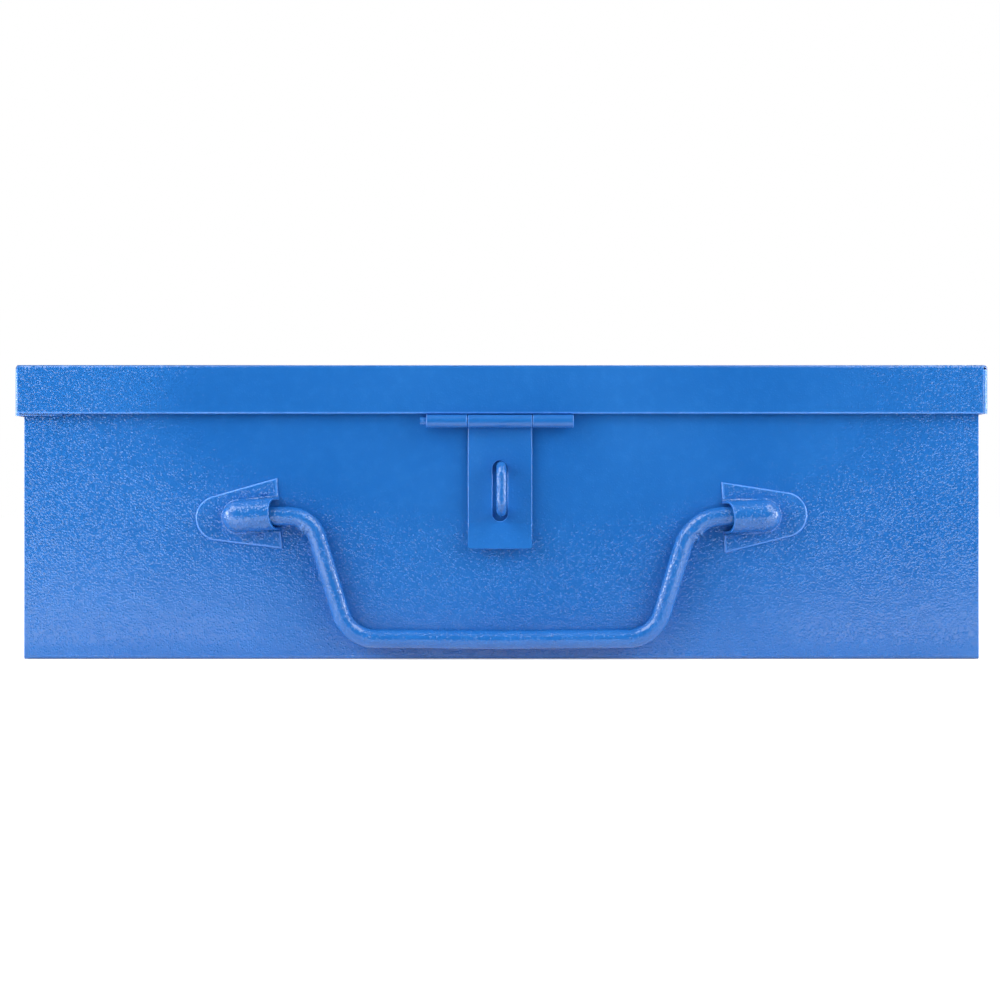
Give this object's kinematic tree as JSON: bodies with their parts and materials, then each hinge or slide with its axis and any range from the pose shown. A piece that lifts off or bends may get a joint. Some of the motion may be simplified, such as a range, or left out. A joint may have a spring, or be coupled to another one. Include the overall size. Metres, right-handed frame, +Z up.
{
  "type": "metal tool case",
  "caption": "Folded sheet-steel tool case with an overlapping hinged lid, a swinging hasp over a padlock staple, and a bent-rod carrying handle on its front wall.",
  "frame": {"origin": "middle of the flat underside of the case body", "axes": "+X to the right along the front, -Y out of the front with the handle and hasp, +Z up"},
  "size_m": [0.4, 0.2208, 0.121],
  "materials": {
    "blue_enamel": "gloss enamel with an orange-peel texture"
  },
  "bodies": {
    "case": {"body_wrap": "blue_enamel", "left_end_panel": "blue_enamel", "right_end_panel": "blue_enamel", "staple": "blue_enamel", "left_handle_clip": "blue_enamel", "right_handle_clip": "blue_enamel", "left_hinge_body_leaf": "blue_enamel", "right_hinge_body_leaf": "blue_enamel", "left_hinge_pin": "blue_enamel", "right_hinge_pin": "blue_enamel"},
    "lid": {"lid": "blue_enamel", "hasp_leaf": "blue_enamel", "hasp_pin": "blue_enamel", "left_hinge_lid_leaf": "blue_enamel", "right_hinge_lid_leaf": "blue_enamel"},
    "hasp": {"hasp_plate": "blue_enamel"},
    "handle": {"handle": "blue_enamel"}
  },
  "joints": [
    {"name": "lid_open", "type": "hinge", "parent": "case", "child": "lid", "pos_m": [0, 0.10416, 0.09784], "axis": [-1, 0, 0], "range_deg": [0, 180]},
    {"name": "hasp_swing", "type": "hinge", "parent": "lid", "child": "hasp", "pos_m": [0, -0.10416, 0.09784], "axis": [-1, 0, 0], "range_deg": [0, 180]},
    {"name": "handle_swing", "type": "hinge", "parent": "case", "child": "handle", "pos_m": [0, -0.1044, 0.0589], "axis": [-1, 0, 0], "range_deg": [0, 170]}
  ]
}
